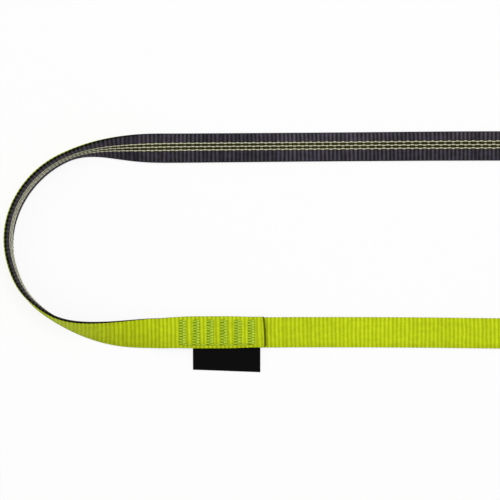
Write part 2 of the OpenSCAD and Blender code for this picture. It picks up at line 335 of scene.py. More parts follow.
def web_point(s, v, h):
    """Place of (s, v, h): along the web, across it and through it towards the black face."""
    s, v, h = np.broadcast_arrays(s, v, h)
    centre, across, normal = web_frame(s)
    wide = v * (1 + web_spread(s, centre[..., 0])) + SEAM_SHIFT * ease((-s - SHIFT_START) / SHIFT_RAMP)
    w = v / HALF_W
    bend = CAMBER * (1 - w * w) * (1 - CAMBER_SKEW * w)
    rise = h - lap_rise(s) + bend * bend_share(s, BEND_FADE) + settling(s, w)
    return centre + wide[..., None] * across + rise[..., None] * normal


def swept_mesh(name, rings):
    """Closed mesh of (rings, points, 3) sections in millimetres, joined by quads and capped by strips."""
    count, n = rings.shape[:2]
    here = np.arange(count * n).reshape(count, n)
    there = np.roll(here, -1, axis=1)
    sides = np.stack([here[:-1], there[:-1], there[1:], here[1:]], -1).reshape(-1, 4)
    i = np.arange(n // 2 - 1)
    strip = np.stack([i, i + 1, n - 2 - i, n - 1 - i], -1)
    faces = np.concatenate([sides, strip[:, ::-1], (count - 1) * n + strip])
    mesh = bpy.data.meshes.new(name)
    mesh.from_pydata((rings.reshape(-1, 3) * MM).tolist(), [], faces.tolist())
    mesh.polygons.foreach_set("use_smooth", np.ones(len(faces), bool))
    mesh.update()
    return mesh


def store_vector(mesh, name, values):
    layer = mesh.attributes.new(name, "FLOAT_VECTOR", "POINT")
    layer.data.foreach_set("vector", np.ascontiguousarray(values, np.float32).ravel())


def store_number(mesh, name, values):
    layer = mesh.attributes.new(name, "FLOAT", "POINT")
    layer.data.foreach_set("value", np.ascontiguousarray(values, np.float32).ravel())


def together(*values):
    """Values of the same or fitting shapes, stacked as vectors."""
    return np.stack(np.broadcast_arrays(*values), -1)


def place(name, mesh, material):
    piece = bpy.data.objects.new(name, mesh)
    bpy.context.scene.collection.objects.link(piece)
    mesh.materials.append(material)
    return piece


# Weave: where each rib lies and how it strays

def wander(rng, count, reach):
    """Random values that change slowly over about reach steps, with a spread of 1."""
    width = int(3 * reach)
    kernel = np.exp(-0.5 * (np.arange(-width, width + 1) / reach) ** 2)
    noise = np.convolve(rng.standard_normal(count + 2 * width), kernel, "valid")
    return noise / np.sqrt((kernel ** 2).sum())


class Weave:
    """Ribs of one face of the web: the lines between them, and the height and tone of each crest."""

    SKEW = 0.16
    SKEW_REACH = 9
    BOW = 0.12
    BOW_REACH = 7
    RIPPLE = 0.07
    RIPPLE_PACE = 4.5
    WIDTH_SPREAD = 0.03
    CREST_DROP = 0.05
    DRIFT_REACH = 5

    def __init__(self, seed):
        rng = np.random.default_rng(seed)
        count = round(STRIP_LEN / RIB_PITCH)
        widths = 1 + self.WIDTH_SPREAD * rng.standard_normal(count)
        ends = np.concatenate([[0.0], np.cumsum(widths)]) / widths.sum()
        self.count = count
        self.lines = STRIP_START + STRIP_LEN * ends
        self.skew = self.SKEW * wander(rng, count + 1, self.SKEW_REACH)
        self.bow = self.BOW * wander(rng, count + 1, self.BOW_REACH)
        self.ripple = self.RIPPLE * rng.standard_normal(count + 1)
        self.turn = rng.uniform(0, 2 * math.pi, count + 1)
        self.drop = self.CREST_DROP * np.abs(rng.standard_normal(count + 1))
        self.tone = rng.uniform(-1, 1, count + 1)
        self.drift = wander(rng, count + 1, self.DRIFT_REACH)

    def line(self, k, v):
        """Place along the web of line k, at each v across it: askew, bowed about its mean and rippled."""
        w = v / HALF_W
        stray = self.skew[k] * w + self.bow[k] * (w * w - 1 / 3)
        return self.lines[k] + stray + self.ripple[k] * np.sin(self.RIPPLE_PACE * w + self.turn[k])

    def stations(self):
        """Rib number and phase of every ring along the web."""
        rib = np.repeat(np.arange(self.count), len(RIB_PHASES))
        phase = np.tile(RIB_PHASES, self.count)
        return np.append(rib, self.count - 1)[:, None], np.append(phase, 1.0)[:, None]

    def along(self, rib, phase, v):
        return self.line(rib, v) * (1 - phase) + self.line(rib + 1, v) * phase

    def crest(self, phase):
        return np.sin(math.pi * phase) ** RIB_POWER

    def relief(self, rib, phase):
        """How far the face lies under its highest crest."""
        crest = self.crest(phase)
        return RIB_DEPTH * (1 - crest) + self.drop[rib] * crest


# Inner side and selvedge of a ply, as points (v, h) from the middle of the web: the inner side turns to the
# green side at the selvedges, where the black yarns wrap round the edge, and has one point more in the
# lower half, for the bulging section of the bends
PLY_GAP = 0.03
INNER_POINTS = ((7.6, -0.54), (5.5, 0.0), (-2.0, 0.0), (-5.5, 0.0), (-7.6, -0.54))
BLACK_SIDE = ((7.97, -0.54), (8.0, -0.15), (8.0, 0.35))
GREEN_SIDE = ((7.96, -0.58),)

# Corner of a ply: the angles of its two points, and how much of the edge's dark colour each takes; that
# colour is black yarn with painted shade in the gaps between the ribs, and on the green ply only painted
# shade in the gaps
CORNER_R = 0.5
CORNER_MIDDLE = np.array([HALF_W - CORNER_R, HALF_T - CORNER_R])
BLACK_CORNER = (25.0, 55.0)
GREEN_CORNER = (35.0, 62.0)
BLACK_SHARES = (0.9, 0.6)
GREEN_SHARES = (0.3, 0.05)

# Face of a ply: where its points lie, as shares of the way to a corner, and its drop towards the selvedges
FACE_SHARES = (1.0, 0.91, 0.82, 0.68, 0.5, 0.25)
FACE_POINTS = 2 * len(FACE_SHARES) + 1
DROP_START = 5.0
EDGE_DROP = 0.1

# Selvedge: its share of the ribs' relief, and how far the black wrap draws back from it in the bends
EDGE_RELIEF = 0.15
WRAP_DRAW = 0.22

# Length that a direction is divided by at least
TINY = 1e-6


def corner_points(turns):
    """Points of the corner between the selvedge at +v and a face at +h."""
    angles = np.radians(turns)
    arc = CORNER_MIDDLE + CORNER_R * np.stack([np.cos(angles), np.sin(angles)], -1)
    return arc - [0, EDGE_DROP]


def face_points():
    """Points of a face at +h, from +v to -v."""
    across = CORNER_MIDDLE[0] * np.array(FACE_SHARES + (0.0,) + tuple(-c for c in FACE_SHARES[::-1]))
    drop = EDGE_DROP * ease((np.abs(across) - DROP_START) / (CORNER_MIDDLE[0] - DROP_START))
    return np.stack([across, HALF_T - drop], -1)


class Section:
    """Points (v, h) round one ply from +v to -v and back, and what each of them carries."""

    def __init__(self, face):
        side, turns, shares = BLACK_SIDE, BLACK_CORNER, BLACK_SHARES
        if face == GREEN:
            side, turns, shares = GREEN_SIDE, GREEN_CORNER, GREEN_SHARES
        corner = np.concatenate([np.array(side), corner_points(turns) * [1, face]])
        inner = np.array(INNER_POINTS[::-1]) + [0, face * PLY_GAP / 2]
        self.points = np.concatenate([corner, face_points() * [1, face], corner[::-1] * [-1, 1], inner])
        core = np.clip(self.points * [1, 0], -CORNER_MIDDLE[0], CORNER_MIDDLE[0])
        out = self.points - core
        self.out = out / np.maximum(np.linalg.norm(out, axis=1, keepdims=True), TINY)
        edge = np.concatenate([np.ones(len(side)), shares])
        rim = np.arange(len(corner)) == 0
        inner_rim = np.abs(inner[:, 0]) == INNER_POINTS[0][0]
        self.edge = self.carried(edge, 0.0, np.ones(len(inner)))
        self.relief = self.carried(np.full(len(corner), EDGE_RELIEF), 1.0, np.zeros(len(inner)))
        self.rim = self.carried(rim, 0.0, inner_rim)

    def carried(self, corner, face, inner):
        """Values for all points, from those of a corner, the whole face and the inner side."""
        return np.concatenate([corner, np.full(FACE_POINTS, face), corner[::-1], inner])


# Cut ends: molten over a short length, with rounded corners, lower and upper. The end on top of the seam
# is also slanted and bowed, and there the dark molten band on the green face is partly melt and partly
# painted shadow of its step.
END_SLANT = 0.5
END_BOW = 0.25
END_REACH = 6.0
END_CORNERS = (1.7, 0.6)
MELT_LEN = 1.5
MELT_ROUND = 0.3


def end_shift(s, v):
    """Shift along the web that slants and bows its end on top of the seam."""
    w = v / HALF_W
    shift = END_SLANT * w - END_BOW * (1 - w * w)
    return shift * (1 - ease((s - STRIP_START) / END_REACH))


def corner_cut(distance, v):
    """How much narrower the web is near its ends, where the corners are rounded."""
    radius = np.where(v < 0, END_CORNERS[0], END_CORNERS[1])
    into = np.clip(1 - distance / radius, 0, 1)
    return radius * (1 - np.sqrt(1 - into * into))


# Bar tacks press the face down, flatten a share of its ribs, and do so a little past their ends
PRESS_DEPTH = 0.24
PRESS_FLAT = 0.55
PRESS_PAST = 0.5


def bar_place(k):
    return -(SEAM_START + END_MARGIN + k * BAR_PITCH)


def press(s, v, turn):
    """Share from 0 to 1 of the pressing by the bar tacks, turn being the loop length for the lower layer."""
    ends = ease((BAR_LEN / 2 + PRESS_PAST - np.abs(v)) / (2 * PRESS_PAST))
    bars = [np.exp(-(((s - turn - bar_place(k)) / (BAR_W / 2)) ** 4)) for k in range(BAR_COUNT)]
    return ends * np.max(bars, axis=0)


# Tone of each face: from rib to rib and over longer stretches, and darker towards the lower edge by painted
# shade. Both legs have a darker stretch (most, middle along x, reach): on the green one painted shade where
# the leg tilts, mostly low and between the ribs; on the black one it is only darker. The black face also
# gets painted shade towards its lower edge and painted light towards its upper one. A crest gets painted
# shade for each millimetre that it lies lower.
NEUTRAL_TONE = 2 / 3
RIB_TONE = {GREEN: 0.08, BLACK: 0.1}
DRIFT_TONE = {GREEN: 0.05, BLACK: 0.33}
LOW_EDGE_SHADE = 0.33
LOW_EDGE_START = 0.5
GREEN_TILT_SHADE = (0.33, -203.0, 26.0)
TILT_SHADE_TOP = 0.6
VALLEY_SHADE = 0.8
BLACK_SHADE_SLOPE = 0.45
BLACK_DARK_STRETCH = (0.28, -146.0, 36.0)
LOW_CREST_SHADE = 2.0

# In the bends, the dark colour of the edge takes a share of the black face's upper part too
WRAP_START = 0.55
WRAP_SHARE = 0.6


def painted_shade_and_darkening(face, s, w, crest):
    """How much darker a face is than its neutral tone, in tones: painted shade, and on the black leg also a
    darker stretch.
    """
    x = web_frame(s)[0][..., 0]
    if face == BLACK:
        return swell(x, *BLACK_DARK_STRETCH) - BLACK_SHADE_SLOPE * w
    low = ease((TILT_SHADE_TOP - w) / (1 + TILT_SHADE_TOP)) + VALLEY_SHADE * (1 - crest)
    edge = LOW_EDGE_SHADE * ease((-w - LOW_EDGE_START) / (1 - LOW_EDGE_START))
    return edge + low * swell(x, *GREEN_TILT_SHADE)


def web_tone(face, weave, rib, s, w, crest):
    strays = RIB_TONE[face] * weave.tone[rib] + DRIFT_TONE[face] * weave.drift[rib]
    return NEUTRAL_TONE + strays - painted_shade_and_darkening(face, s, w, crest)


def edge_share(face, section, s, v):
    """Share of the edge's dark colour at every point of a ply."""
    dark = section.edge[None, :]
    if face == GREEN:
        return dark
    wrap = WRAP_SHARE * ease((v / HALF_W - WRAP_START) / (1 - WRAP_START)) * bend_share(s, BEND_FADE)
    return dark + (1 - dark) * wrap


def web_ply(name, face, weave, material):
    """One ply of the web with its ribs, ends and pressed bars, and the values that its material reads."""
    section = Section(face)
    rib, phase = weave.stations()
    v = section.points[:, 0][None, :]
    straight = weave.along(rib, phase, 0 * v)
    s = np.where(section.relief > 0, weave.along(rib, phase, v), straight)
    s[0], s[-1] = STRIP_START, STRIP_END
    distance = np.minimum(s - STRIP_START, STRIP_END - s).clip(0)
    pressed = press(s, v, 0.0 if face == GREEN else LOOP_LEN)
    molten = 1 - ease(distance / MELT_LEN)
    relief = weave.relief(rib, phase) * (1 - PRESS_FLAT * pressed) * (1 - molten)
    sunk = section.relief * (relief + PRESS_DEPTH * pressed)
    width = section.points[:, 0] - sunk * section.out[:, 0]
    outer = np.abs(section.points[:, 0]) > HALF_W - 2 * CORNER_R
    width = width - np.sign(width) * corner_cut(distance, width) * outer
    height = (section.points[:, 1] - sunk * section.out[:, 1]) * (1 - MELT_ROUND * molten ** 3)
    height = height + WRAP_DRAW * section.rim * bend_share(s, BEND_FADE)
    rings = web_point(s + end_shift(s, v), width, height)
    order = slice(None, None, -1) if face == BLACK else slice(None)
    mesh = swept_mesh(name, rings[:, order])
    crest = weave.crest(phase) * (1 - LOW_CREST_SHADE * weave.drop[rib])
    faded = crest + (FADED_CREST[face] - crest) * (1 - FADED_RIBS[face]) * bend_share(s, RIB_FADE)
    tone = web_tone(face, weave, rib, s, v / HALF_W, crest)
    store_vector(mesh, "weave", together(s, v, faded)[:, order])
    store_number(mesh, "tooth", (crest + 0 * v)[:, order])
    # Edge share, pressing by the bars, and tone with its painted shade, for the material
    store_vector(mesh, "edge_press_shade", together(edge_share(face, section, s, v), pressed, tone)[:, order])
    store_number(mesh, "melt", molten[:, order])
    return place(name, mesh, material)


# Tracer yarns ride over the ribs of the black face, dip only a little between them and sway, the middle one
# against the others. In the bends they dip less and get painted light between the ribs, so that they look
# more evenly lit, and the lower ones also stand out further and widen.
TRACER_OFFSET = 0.7
TRACER_PITCH = 1.82
TRACER_W = 0.6
TRACER_T = 0.36
TRACER_SWAY = 0.15
TRACER_STAND = 0.14
BEND_STAND = 0.12
BEND_WIDEN = 0.55
BEND_PAINTED_LIGHT = 0.6
TRACER_FOLLOW = 0.45
BEND_EASE = 0.5
SWAY_MEAN = 0.75
SWAY_SPREAD = 0.25
SWAY_REACH = 14
YARN_SIDES = 8


def tracer(name, row, weave, seed, material):
    """One tracer yarn, in row 1, 0 or -1 for the upper, the middle or the lower one."""
    rib, phase = weave.stations()
    middle = TRACER_OFFSET + row * TRACER_PITCH
    strength = SWAY_MEAN + SWAY_SPREAD * wander(np.random.default_rng(seed), weave.count, SWAY_REACH)
    beat = np.cos(math.pi * (rib + phase - 0.5)) * (1 if row == 0 else -1)
    v = middle + TRACER_SWAY * strength[rib] * beat
    s = weave.along(rib, phase, v)
    s[0], s[-1] = STRIP_START, STRIP_END
    pressed = press(s, v, LOOP_LEN)
    distance = np.minimum(s - STRIP_START, STRIP_END - s).clip(0)
    bent = bend_share(s, YARN_FADE)
    loose = bent * (1 - row) / 2
    follow = TRACER_FOLLOW * (1 - BEND_EASE * bent) * weave.relief(rib, phase)
    h = HALF_T - follow + TRACER_STAND + BEND_STAND * loose - TRACER_T / 2
    h = h - PRESS_DEPTH * pressed - MELT_ROUND * (1 - ease(distance / MELT_LEN))
    turn = 2 * math.pi * np.arange(YARN_SIDES)[None, :] / YARN_SIDES
    wide = v + TRACER_W / 2 * (1 + BEND_WIDEN * loose) * np.cos(turn)
    rings = web_point(s + end_shift(s, v), wide, h + TRACER_T / 2 * np.sin(turn))
    mesh = swept_mesh(name, rings[:, ::-1])
    crest = weave.crest(phase)
    # Painted light in the bends, filling in the painted shade between the ribs
    painted_light = crest + (1 - crest) * BEND_PAINTED_LIGHT * bent
    store_vector(mesh, "weave", together(s, turn, painted_light)[:, ::-1])
    return place(name, mesh, material)


# Sewing thread: each stitch lies on a face, bitten in a little, and dives into a hole at both ends
THREAD_SIDES = 8
STITCH_STEP = 0.69
UNDERLAY_STITCHES = 4
UNDERLAY_X = (0.5, 1.2)
STITCH_BITE = 0.09
STITCH_LIE = THREAD_D / 2 - STITCH_BITE
HOLE_DEPTH = 0.9
HOLE_BEND = 0.24
STITCH_SHARES = (0.0, 0.03, 0.1, 0.25, 0.4, 0.5)
STITCH_LEVELS = (-HOLE_DEPTH, STITCH_LIE - HOLE_BEND, STITCH_LIE, STITCH_LIE, STITCH_LIE, STITCH_LIE)
HUMP_REACH = 0.16
STITCH_JITTER = 0.06

# Sine of the angle from upright up to which a path counts as upright
UPRIGHT = 1e-3


def tube_rings(points, radius, sides):
    """Round sections square to a path, each turned as little as possible from the last."""
    ahead = np.gradient(points, axis=0)
    ahead /= np.linalg.norm(ahead, axis=1, keepdims=True)
    side = np.cross(ahead[0], [0.0, 0.0, 1.0])
    if np.linalg.norm(side) < UPRIGHT:
        side = np.cross(ahead[0], [1.0, 0.0, 0.0])
    turn = 2 * math.pi * np.arange(sides) / sides
    rings = []
    for point, forward in zip(points, ahead):
        side = side - forward * (side @ forward)
        side = side / np.linalg.norm(side)
        lift = np.cross(forward, side)
        rings.append(point + radius * (np.cos(turn)[:, None] * side + np.sin(turn)[:, None] * lift))
    return np.array(rings)


def stitch_float(start, stop, hump):
    """Points (x, y, z) of one stitch over a face at z = 0, with its ends pulled into the web."""
    half = np.column_stack([STITCH_SHARES, STITCH_LEVELS])
    t, z = np.concatenate([half, half[-2::-1] * [-1, 1] + [1, 0]]).T
    z = z + swell(t, hump, 0.5, HUMP_REACH)
    flat = start + (stop - start) * t[:, None]
    return np.column_stack([flat, z])


def bar_stitches(rng, over):
    """One bar tack: straight stitches up the bar and back, then a zigzag sewn over them."""
    reach = (BAR_LEN - THREAD_D) / 2
    half = (BAR_W - THREAD_D) / 2
    ups = np.linspace(-reach, reach, UNDERLAY_STITCHES + 1)
    holes = [(UNDERLAY_X[0], y) for y in ups] + [(UNDERLAY_X[1], y) for y in ups[::-1]]
    zigzag = np.linspace(-reach, reach, round(2 * reach / STITCH_STEP) + 1)
    holes = np.array(holes + [(half * (-1) ** i, y) for i, y in enumerate(zigzag)])
    holes = holes + STITCH_JITTER * rng.standard_normal(holes.shape)
    humps = np.where(np.arange(len(holes) - 1) < 2 * len(ups), 0.0, over)
    return np.concatenate([stitch_float(a, b, hump) for a, b, hump in zip(holes, holes[1:], humps)])


# Link stitches run from bar to bar beside the lower selvedge, and stop short of both bars
LINK_GAP = 0.1
LINK_V = -(BAR_LEN - THREAD_D) / 2


def link_stitch():
    half = (BAR_PITCH - BAR_W) / 2 - LINK_GAP
    return stitch_float(np.array([-half, LINK_V]), np.array([half, LINK_V]), 0.0)


def on_face(points, s, face, sunk):
    """Puts seam points on the top face of the upper layer, or on the underside of the lower one."""
    if face == GREEN:
        return web_point(s - points[:, 0], points[:, 1], -(HALF_T + points[:, 2] - sunk))
    return web_point(s + LOOP_LEN - points[:, 0], points[:, 1], HALF_T + points[:, 2] - sunk)


def thread(name, paths, material):
    """Thread along each of the paths, joined to one piece."""
    meshes = []
    for path in paths:
        rings = tube_rings(path, THREAD_D / 2, THREAD_SIDES)
        mesh = swept_mesh(name, rings)
        length = np.concatenate([[0.0], np.cumsum(np.linalg.norm(np.diff(path, axis=0), axis=1))])
        turn = np.arange(THREAD_SIDES) / THREAD_SIDES
        store_vector(mesh, "twist", together(length[:, None], turn[None, :], np.zeros((1, 1))))
        meshes.append(mesh)
    piece = place(name, meshes[0], material)
    for mesh in meshes[1:]:
        other = place(name + "_part", mesh, material)
        with bpy.context.temp_override(active_object=piece, selected_editable_objects=[piece, other]):
            bpy.ops.object.join()
    return piece


# Label: one tape, folded over, its two ends sewn between the web layers
LABEL_LEAF = 0.22
LABEL_TAIL = 10.0
LABEL_COLUMNS = 46
TAIL_STOP = -2.0
TAIL_POINTS = 7
HINGE_SPAN = (-1.5, 2.0)
HINGE_POINTS = 13
FLAP_START = 2.6
FLAP_POINTS = 16
LABEL_REACH = (11.45, 12.85)
LABEL_BEND = 1.6
LABEL_REST = 0.4
LABEL_RIPPLE = 0.05
RIPPLE_TURN = 0.35
LEAF_SPREAD = (0.14, 0.2, 0.16)
FOLD_POINTS = 9


def label_steps(reach):
    """Distances from the hinge, down to the fold, at which the tape has points."""
    tail = np.linspace(-LABEL_TAIL, TAIL_STOP, TAIL_POINTS)
    bend = np.linspace(*HINGE_SPAN, HINGE_POINTS)
    return np.concatenate([tail, bend, np.linspace(FLAP_START, reach, FLAP_POINTS)])


def label_rings(left, right, hinge):
    """Sections of the folded tape square to its width, from one side of the label to the other."""
    droop = math.atan2(hinge[2] - LABEL_REST, sum(LABEL_REACH) / 2)
    rings = []
    for x in np.linspace(left, right, LABEL_COLUMNS):
        reach = np.interp(x, [left, right], LABEL_REACH) - LEAF_SPREAD[-1] - LABEL_LEAF / 2
        t = label_steps(reach)
        angle = droop * ease((t + LABEL_BEND / 2) / LABEL_BEND)
        step = np.diff(t, prepend=t[0])
        y = hinge[1] - t[0] - np.cumsum(step * np.cos(angle))
        z = hinge[2] - np.cumsum(step * np.sin(angle))
        spread = np.interp(t, [0.0, reach / 2, reach], LEAF_SPREAD)
        ripple = LABEL_RIPPLE * np.sin(RIPPLE_TURN * (x - left)) * ease(t / reach)
        path = np.stack([y, z + ripple], -1)
        off = np.stack([np.sin(angle), -np.cos(angle)], -1)
        rings.append(folded_section(x, path, off, spread, angle[-1]))
    return np.array(rings)


def folded_section(x, path, off, spread, angle):
    """Outer skin of the tape, along its lower leaf, round the fold and back, then the inner skin."""

    def skin(out):
        low = path + off * (spread + out)[:, None]
        high = path - off * (spread + out)[:, None]
        arc = np.linspace(0, math.pi, FOLD_POINTS + 2)[1:-1]
        ahead = np.array([-math.cos(angle), -math.sin(angle)])
        r = spread[-1] + out
        bend = path[-1] + r * (np.cos(arc)[:, None] * off[-1] + np.sin(arc)[:, None] * ahead)
        return np.concatenate([low, bend, high[::-1]])

    outer, inner = skin(LABEL_LEAF / 2), skin(-LABEL_LEAF / 2)
    flat = np.concatenate([outer, inner[::-1]])
    return np.column_stack([np.full(len(flat), x), flat])


def label(material):
    """The folded label, its flat size in metres and its hinge in millimetres."""
    low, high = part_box("label_flap")
    joint = next(j for j in frame["joints"] if j["name"] == "label_fold")
    hinge = [c / MM for c in joint["pos_m"]]
    rings = label_rings(low.x / MM, high.x / MM, hinge)
    mesh = swept_mesh("folded_label", rings)
    n = rings.shape[1] // 2
    ahead = np.linalg.norm(np.diff(rings[:, :n], axis=1), axis=2)
    length = np.concatenate([np.zeros((len(rings), 1)), np.cumsum(ahead, axis=1)], 1)
    length = np.concatenate([length, length[:, ::-1]], 1)
    store_vector(mesh, "weave", together(rings[:, :, 0] - rings[0, 0, 0], length, 0 * length))
    piece = place("folded_label", mesh, material)
    flat = (high.x - low.x, float(length.max()) * MM)
    return piece, flat, hinge


# Materials

class Nodes:
    """A material's node tree, with short calls for the nodes that the cloth needs."""

    def __init__(self, name):
        self.material = bpy.data.materials.new(name)
        self.material.use_nodes = True
        self.tree = self.material.node_tree
        self.shader = self.tree.nodes["Principled BSDF"]

    def add(self, kind, **settings):
        made = self.tree.nodes.new(kind)
        for key, value in settings.items():
            setattr(made, key, value)
        return made

    def feed(self, socket, value):
        if isinstance(value, bpy.types.NodeSocket):
            self.tree.links.new(value, socket)
        else:
            socket.default_value = value

    def attribute(self, name):
        return self.add("ShaderNodeAttribute", attribute_name=name)

    def split(self, vector):
        made = self.add("ShaderNodeSeparateXYZ")
        self.feed(made.inputs[0], vector)
        return made.outputs

    def math(self, operation, a, b=0.0):
        made = self.add("ShaderNodeMath", operation=operation)
        self.feed(made.inputs[0], a)
        self.feed(made.inputs[1], b)
        return made.outputs[0]

    def span(self, value, low, high, to_low=0.0, to_high=1.0):
        """Smooth change from to_low to to_high, while value goes from low to high."""
        made = self.add("ShaderNodeMapRange", interpolation_type="SMOOTHSTEP")
        for socket, given in zip(made.inputs, (value, low, high, to_low, to_high)):
            self.feed(socket, given)
        return made.outputs[0]

    def noise(self, vector, scale, detail=2.0):
        stretch = self.add("ShaderNodeVectorMath", operation="MULTIPLY")
        self.feed(stretch.inputs[0], vector)
        self.feed(stretch.inputs[1], scale)
        made = self.add("ShaderNodeTexNoise")
        self.feed(made.inputs["Vector"], stretch.outputs[0])
        self.feed(made.inputs["Scale"], 1.0)
        self.feed(made.inputs["Detail"], detail)
        return made.outputs[0]

    def mix(self, share, a, b, blend="MIX"):
        made = self.add("ShaderNodeMix", data_type="RGBA", blend_type=blend)
        colours = [socket for socket in made.inputs if socket.type == "RGBA"]
        self.feed(made.inputs[0], share)
        self.feed(colours[0], a)
        self.feed(colours[1], b)
        return [socket for socket in made.outputs if socket.type == "RGBA"][0]

    def bump(self, height, distance):
        made = self.add("ShaderNodeBump")
        self.feed(made.inputs["Strength"], 1.0)
        self.feed(made.inputs["Distance"], distance)
        self.feed(made.inputs["Height"], height)
        self.feed(self.shader.inputs["Normal"], made.outputs[0])

    def set(self, **inputs):
        for name, value in inputs.items():
            self.feed(self.shader.inputs[name.replace("_", " ")], value)


def srgb(r, g, b):
    """A colour given as 0 to 255 on screen, as the shader takes it."""

    def linear(c):
        c = c / 255
        return c / 12.92 if c <= 0.04045 else ((c + 0.055) / 1.055) ** 2.4

    return (linear(r), linear(g), linear(b), 1.0)


WHITE = (1.0, 1.0, 1.0, 1.0)

# Spans of a noise over which a shade or a roughness goes from its first value to its second
NOISE_SPAN = (0.3, 0.7)
ROUGH_SPAN = (0.25, 0.75)

# Web
YARN_PITCH = 0.62
YARN_BUMP = 0.06 * MM
FILAMENT_RELIEF = 0.5
FILAMENT_SCALE = (0.9, 14.0, 0.0)
FILAMENT_SHADE = (0.9, 1.07)
MOTTLE_SCALE = (0.25, 0.35, 0.0)
MOTTLE_SHADE = (0.93, 1.06)
# Painted shade between the warp yarns side by side
YARN_SHADE = (0.93, 1.03)
TONE_SHADE = (0.8, 1.1)
WEB_ROUGH = (0.72, 0.55)
MELT_SPAN = (0.03, 0.3)


def web_material(name, ribs, valley, crest, molten, tint):
    """Ribbed web: painted highlight on the crests and painted shade in the valleys, warp yarns side by side
    over each rib with painted shade between them, and fine filaments along them.
    """
    nodes = Nodes(name)
    weave = nodes.attribute("weave").outputs["Vector"]
    along, across, rib = nodes.split(weave)
    # Edge share, pressing and tone; the tone and the pressing carry painted shade
    edge, pressed, tone = nodes.split(nodes.attribute("edge_press_shade").outputs["Vector"])
    yarn = nodes.math("PINGPONG", across, YARN_PITCH / 2)
    yarn = nodes.span(yarn, 0.0, YARN_PITCH / 2)
    filaments = nodes.noise(weave, FILAMENT_SCALE)
    mottle = nodes.noise(weave, MOTTLE_SCALE)
    cloth = dict(along=along, across=across, rib=rib, edge=edge, pressed=pressed, mottle=mottle)
    colour = tint(nodes, cloth, nodes.mix(nodes.span(rib, *ribs), valley, crest))
    shades = (
        nodes.span(filaments, *NOISE_SPAN, *FILAMENT_SHADE),
        nodes.span(mottle, *NOISE_SPAN, *MOTTLE_SHADE),
        nodes.span(yarn, 0.0, 1.0, *YARN_SHADE),
        nodes.span(tone, 0.0, 1.0, *TONE_SHADE),
    )
    for shade in shades:
        colour = nodes.mix(1.0, colour, shade, "MULTIPLY")
    melt = nodes.attribute("melt").outputs["Fac"]
    colour = nodes.mix(nodes.span(melt, *MELT_SPAN), colour, molten)
    height = nodes.math("ADD", yarn, nodes.math("MULTIPLY", filaments, FILAMENT_RELIEF))
    nodes.bump(height, YARN_BUMP)
    nodes.set(Base_Color=colour, Roughness=nodes.span(filaments, *ROUGH_SPAN, *WEB_ROUGH))
    return nodes


# Green face: the span of the ribs from valley to crest, and the colours of its parts; the valley colour is
# painted shade, the crest colour painted light
GREEN_RIBS = (0.3, 1.0)
GREEN_SHADED_VALLEY = srgb(176, 193, 0)
GREEN_LIT_CREST = srgb(204, 222, 28)
# Colour of the molten cut end, also dark enough to paint the shadow of the step at the end on top of the
# seam
GREEN_MOLTEN_AND_SHADE = srgb(84, 94, 0)
# Painted shade in the gaps between the ribs of the selvedges, and the span of the ribs over which it comes
GREEN_GAP_SHADE = srgb(70, 78, 5)
EDGE_GAPS = (0.9, 0.45)
# Painted shade on the web under the bar tacks, seen between the stitches, and the span of pressing over
# which it comes
BAR_SHADE_GREEN = srgb(122, 154, 0)
BAR_PRESS = (0.2, 0.9)
# Painted shade along the link stitches: its colour, share, reach from the stitches and fade at the bars
LINK_SHADE_GREEN = srgb(104, 118, 2)
LINK_SHADE_SHARE = 0.8
LINK_REACH = (0.5, 0.2)
LINK_FADE = 1.0
GREEN_GLOSS = 0.1


def green_tint(nodes, cloth, colour):
    """Painted shade in the gaps of the selvedges, painted shade under the bars between the stitches, and a
    painted shade line along the link stitches.
    """
    gap = nodes.span(nodes.attribute("tooth").outputs["Fac"], *EDGE_GAPS)
    colour = nodes.mix(nodes.math("MULTIPLY", cloth["edge"], gap), colour, GREEN_GAP_SHADE)
    colour = nodes.mix(nodes.span(cloth["pressed"], *BAR_PRESS), colour, BAR_SHADE_GREEN)
    away = nodes.math("ABSOLUTE", nodes.math("SUBTRACT", cloth["across"], LINK_V))
    first, last = bar_place(0), bar_place(BAR_COUNT - 1)
    begun = nodes.span(cloth["along"], first, first - LINK_FADE)
    sewn = nodes.math("MULTIPLY", begun, nodes.span(cloth["along"], last - LINK_FADE, last))
    line = nodes.math("MULTIPLY", sewn, nodes.span(away, *LINK_REACH))
    return nodes.mix(nodes.math("MULTIPLY", line, LINK_SHADE_SHARE), colour, LINK_SHADE_GREEN)


def green_material():
    nodes = web_material("green_web", GREEN_RIBS, GREEN_SHADED_VALLEY, GREEN_LIT_CREST, GREEN_MOLTEN_AND_SHADE, green_tint)
    nodes.set(Specular_IOR_Level=GREEN_GLOSS)
    return nodes.material


# Black face: the span of the ribs from valley to crest, and the colours of its parts; the valley colour is
# painted shade, the crest colour a painted highlight
BLACK_RIBS = (0.48, 1.03)
BLACK_SHADED_VALLEY = srgb(41, 37, 44)
BLACK_HIGHLIT_CREST = srgb(84, 80, 87)
BLACK_MOLTEN = srgb(24, 23, 20)
VIOLET = srgb(60, 52, 74)
VIOLET_SPAN = (0.5, 0.72)
VIOLET_SHARES = (0.0, 0.4)
BLACK_MOTTLE = (0.88, 1.12)
# Olive yarns between the tracers: painted shade in the valleys, painted light on the crests
OLIVE_SHADED_VALLEY = srgb(29, 28, 6)
OLIVE_LIT_CREST = srgb(55, 54, 20)
OLIVE_RIBS = (0.1, 0.9)
OLIVE_REACH = (2.7, 2.1)
# Black selvedge: black yarn with painted shade in the gaps between the ribs and painted light on the crests
TOOTH_GAP_SHADE = srgb(2, 2, 1)
TOOTH_CREST_LIGHT = srgb(50, 48, 44)
TOOTH_RIBS = (0.55, 1.0)
BLACK_GLOSS = 0.04
SHEEN = 0.04
SHEEN_ROUGH = 0.4
SHEEN_TINT = srgb(205, 195, 220)


